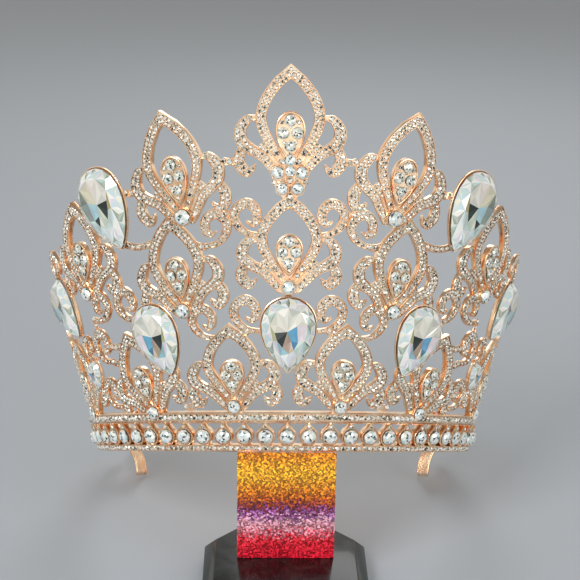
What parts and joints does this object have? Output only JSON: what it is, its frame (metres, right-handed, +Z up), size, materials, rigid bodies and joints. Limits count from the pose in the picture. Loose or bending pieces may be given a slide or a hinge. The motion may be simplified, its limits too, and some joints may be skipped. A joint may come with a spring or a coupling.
{
  "type": "pageant crown on a display stand",
  "caption": "Tall openwork pageant crown with large drop-shaped stones and side combs, leaning back on a plain upright with a bevelled base.",
  "frame": {"origin": "centre of the underside of the stand's base, on the floor", "axes": "+Z up, -Y towards the viewer of the crown's front, +X to the viewer's right"},
  "size_m": [0.1716, 0.1254, 0.1772],
  "materials": {
    "rose_gold": "polished rose-gold plate over cast zinc alloy",
    "crystal": "clear cut glass, foiled behind",
    "glitter_resin": "clear resin filled with glitter, gold at the top to red at the foot",
    "black_resin": "polished black resin"
  },
  "bodies": {
    "root": {"crown_frame": "rose_gold", "centre_drop": "crystal", "low_drop_left": "crystal", "low_drop_right": "crystal", "top_drop_left": "crystal", "top_drop_right": "crystal", "outer_drop_left": "crystal", "outer_drop_right": "crystal", "side_drop_left": "crystal", "side_drop_right": "crystal", "band_stones": "crystal", "foot_stones": "crystal", "comb_left": "rose_gold", "comb_right": "rose_gold", "stand_upright": "glitter_resin", "stand_base": "black_resin"}
  },
  "joints": []
}
